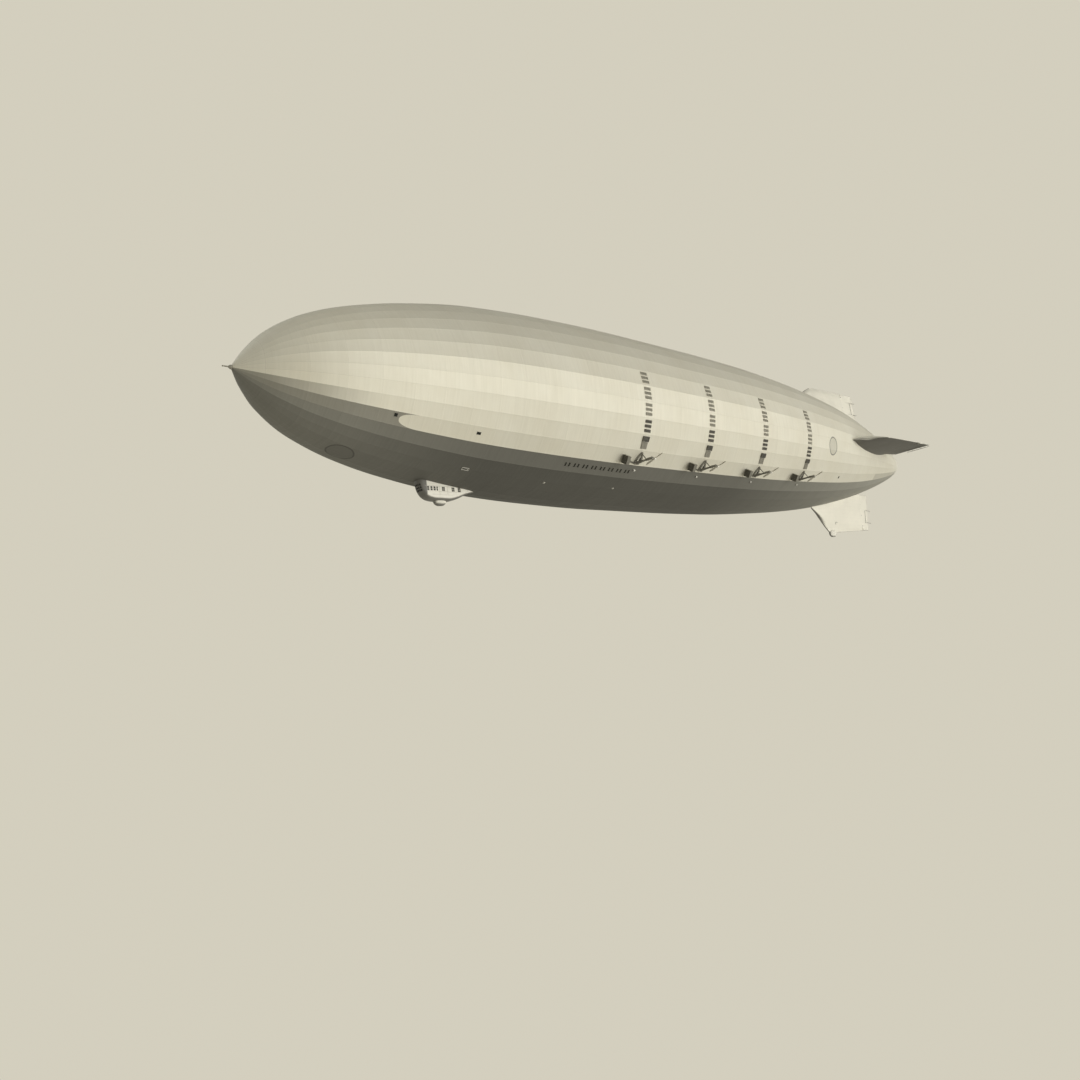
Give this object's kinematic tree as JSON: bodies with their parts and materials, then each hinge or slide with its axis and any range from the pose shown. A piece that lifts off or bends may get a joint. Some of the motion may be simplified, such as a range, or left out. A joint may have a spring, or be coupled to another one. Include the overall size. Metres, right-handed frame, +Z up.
{
  "type": "scale model of an eight-engine rigid airship",
  "caption": "Long faceted rigid airship with a control car, tilting side propellers, condenser bands, four fins and hinged rudders and elevators.",
  "frame": {"origin": "on the hull's axis at its centre of buoyancy, where the air carries the ship", "axes": "+X forward to the nose, +Y to port, +Z up"},
  "size_m": [24.06, 4.55, 4.805],
  "materials": {
    "cover": "doped cloth in aluminium silver, satin",
    "fin_cover": "doped cloth in aluminium silver, satin",
    "condenser": "rolled aluminium panels, matt",
    "outrigger_metal": "grey paint, satin",
    "gear_metal": "cast, satin",
    "propeller": "grey paint over laminated wood, satin",
    "car_skin": "silver paint, satin",
    "bumper": "coated cloth air bag, matt",
    "steel": "machined"
  },
  "bodies": {
    "envelope": {"car_bumper": "bumper", "condenser_port_1": "condenser", "condenser_port_2": "condenser", "condenser_port_3": "condenser", "condenser_port_4": "condenser", "condenser_starboard_1": "condenser", "condenser_starboard_2": "condenser", "condenser_starboard_3": "condenser", "condenser_starboard_4": "condenser", "control_car": "car_skin", "drive_unit_port_1": "outrigger_metal", "drive_unit_port_2": "outrigger_metal", "drive_unit_port_3": "outrigger_metal", "drive_unit_port_4": "outrigger_metal", "drive_unit_starboard_1": "outrigger_metal", "drive_unit_starboard_2": "outrigger_metal", "drive_unit_starboard_3": "outrigger_metal", "drive_unit_starboard_4": "outrigger_metal", "fin_bottom": "fin_cover", "fin_port": "fin_cover", "fin_starboard": "fin_cover", "fin_top": "fin_cover", "hull_aft": "cover", "hull_bow": "cover", "hull_fore": "cover", "hull_middle": "cover", "hull_stern": "cover", "mooring_spindle": "steel", "nose_cap": "cover", "tail_cone": "cover"},
    "tilt_head_port_1": {"tilt_head_port_1": "gear_metal"},
    "propeller_port_1": {"propeller_port_1": "propeller"},
    "tilt_head_port_2": {"tilt_head_port_2": "gear_metal"},
    "propeller_port_2": {"propeller_port_2": "propeller"},
    "tilt_head_port_3": {"tilt_head_port_3": "gear_metal"},
    "propeller_port_3": {"propeller_port_3": "propeller"},
    "tilt_head_port_4": {"tilt_head_port_4": "gear_metal"},
    "propeller_port_4": {"propeller_port_4": "propeller"},
    "tilt_head_starboard_1": {"tilt_head_starboard_1": "gear_metal"},
    "propeller_starboard_1": {"propeller_starboard_1": "propeller"},
    "tilt_head_starboard_2": {"tilt_head_starboard_2": "gear_metal"},
    "propeller_starboard_2": {"propeller_starboard_2": "propeller"},
    "tilt_head_starboard_3": {"tilt_head_starboard_3": "gear_metal"},
    "propeller_starboard_3": {"propeller_starboard_3": "propeller"},
    "tilt_head_starboard_4": {"tilt_head_starboard_4": "gear_metal"},
    "propeller_starboard_4": {"propeller_starboard_4": "propeller"},
    "rudder_top": {"rudder_top": "fin_cover"},
    "rudder_bottom": {"rudder_bottom": "fin_cover"},
    "elevator_port": {"elevator_port": "fin_cover"},
    "elevator_starboard": {"elevator_starboard": "fin_cover"}
  },
  "joints": [
    {"name": "tilt_port_1", "type": "hinge", "parent": "envelope", "child": "tilt_head_port_1", "pos_m": [3.016, 1.86256, -1.38326], "axis": [0, -1, 0], "range_deg": [0, 90]},
    {"name": "spin_port_1", "type": "hinge", "parent": "tilt_head_port_1", "child": "propeller_port_1", "pos_m": [2.896, 1.86256, -1.38326], "axis": [1, 0, 0], "continuous": true},
    {"name": "tilt_port_2", "type": "hinge", "parent": "envelope", "child": "tilt_head_port_2", "pos_m": [0.766, 1.86753, -1.38695], "axis": [0, -1, 0], "range_deg": [0, 90]},
    {"name": "spin_port_2", "type": "hinge", "parent": "tilt_head_port_2", "child": "propeller_port_2", "pos_m": [0.646, 1.86753, -1.38695], "axis": [1, 0, 0], "continuous": true},
    {"name": "tilt_port_3", "type": "hinge", "parent": "envelope", "child": "tilt_head_port_3", "pos_m": [-1.484, 1.84664, -1.37144], "axis": [0, -1, 0], "range_deg": [0, 90]},
    {"name": "spin_port_3", "type": "hinge", "parent": "tilt_head_port_3", "child": "propeller_port_3", "pos_m": [-1.604, 1.84664, -1.37144], "axis": [1, 0, 0], "continuous": true},
    {"name": "tilt_port_4", "type": "hinge", "parent": "envelope", "child": "tilt_head_port_4", "pos_m": [-3.734, 1.76762, -1.31275], "axis": [0, -1, 0], "range_deg": [0, 90]},
    {"name": "spin_port_4", "type": "hinge", "parent": "tilt_head_port_4", "child": "propeller_port_4", "pos_m": [-3.854, 1.76762, -1.31275], "axis": [1, 0, 0], "continuous": true},
    {"name": "tilt_starboard_1", "type": "hinge", "parent": "envelope", "child": "tilt_head_starboard_1", "pos_m": [3.016, -1.86256, -1.38326], "axis": [0, -1, 0], "range_deg": [0, 90]},
    {"name": "spin_starboard_1", "type": "hinge", "parent": "tilt_head_starboard_1", "child": "propeller_starboard_1", "pos_m": [2.896, -1.86256, -1.38326], "axis": [1, 0, 0], "continuous": true},
    {"name": "tilt_starboard_2", "type": "hinge", "parent": "envelope", "child": "tilt_head_starboard_2", "pos_m": [0.766, -1.86753, -1.38695], "axis": [0, -1, 0], "range_deg": [0, 90]},
    {"name": "spin_starboard_2", "type": "hinge", "parent": "tilt_head_starboard_2", "child": "propeller_starboard_2", "pos_m": [0.646, -1.86753, -1.38695], "axis": [1, 0, 0], "continuous": true},
    {"name": "tilt_starboard_3", "type": "hinge", "parent": "envelope", "child": "tilt_head_starboard_3", "pos_m": [-1.484, -1.84664, -1.37144], "axis": [0, -1, 0], "range_deg": [0, 90]},
    {"name": "spin_starboard_3", "type": "hinge", "parent": "tilt_head_starboard_3", "child": "propeller_starboard_3", "pos_m": [-1.604, -1.84664, -1.37144], "axis": [1, 0, 0], "continuous": true},
    {"name": "tilt_starboard_4", "type": "hinge", "parent": "envelope", "child": "tilt_head_starboard_4", "pos_m": [-3.734, -1.76762, -1.31275], "axis": [0, -1, 0], "range_deg": [0, 90]},
    {"name": "spin_starboard_4", "type": "hinge", "parent": "tilt_head_starboard_4", "child": "propeller_starboard_4", "pos_m": [-3.854, -1.76762, -1.31275], "axis": [1, 0, 0], "continuous": true},
    {"name": "rudder_top_hinge", "type": "hinge", "parent": "envelope", "child": "rudder_top", "pos_m": [-9.65, 0, 0], "axis": [0, 0, 1], "range_deg": [-20, 20]},
    {"name": "rudder_bottom_hinge", "type": "hinge", "parent": "envelope", "child": "rudder_bottom", "pos_m": [-9.65, 0, 0], "axis": [0, 0, 1], "range_deg": [-20, 20]},
    {"name": "elevator_port_hinge", "type": "hinge", "parent": "envelope", "child": "elevator_port", "pos_m": [-9.65, 0, 0], "axis": [0, 1, 0], "range_deg": [-20, 20]},
    {"name": "elevator_starboard_hinge", "type": "hinge", "parent": "envelope", "child": "elevator_starboard", "pos_m": [-9.65, 0, 0], "axis": [0, 1, 0], "range_deg": [-20, 20]}
  ]
}
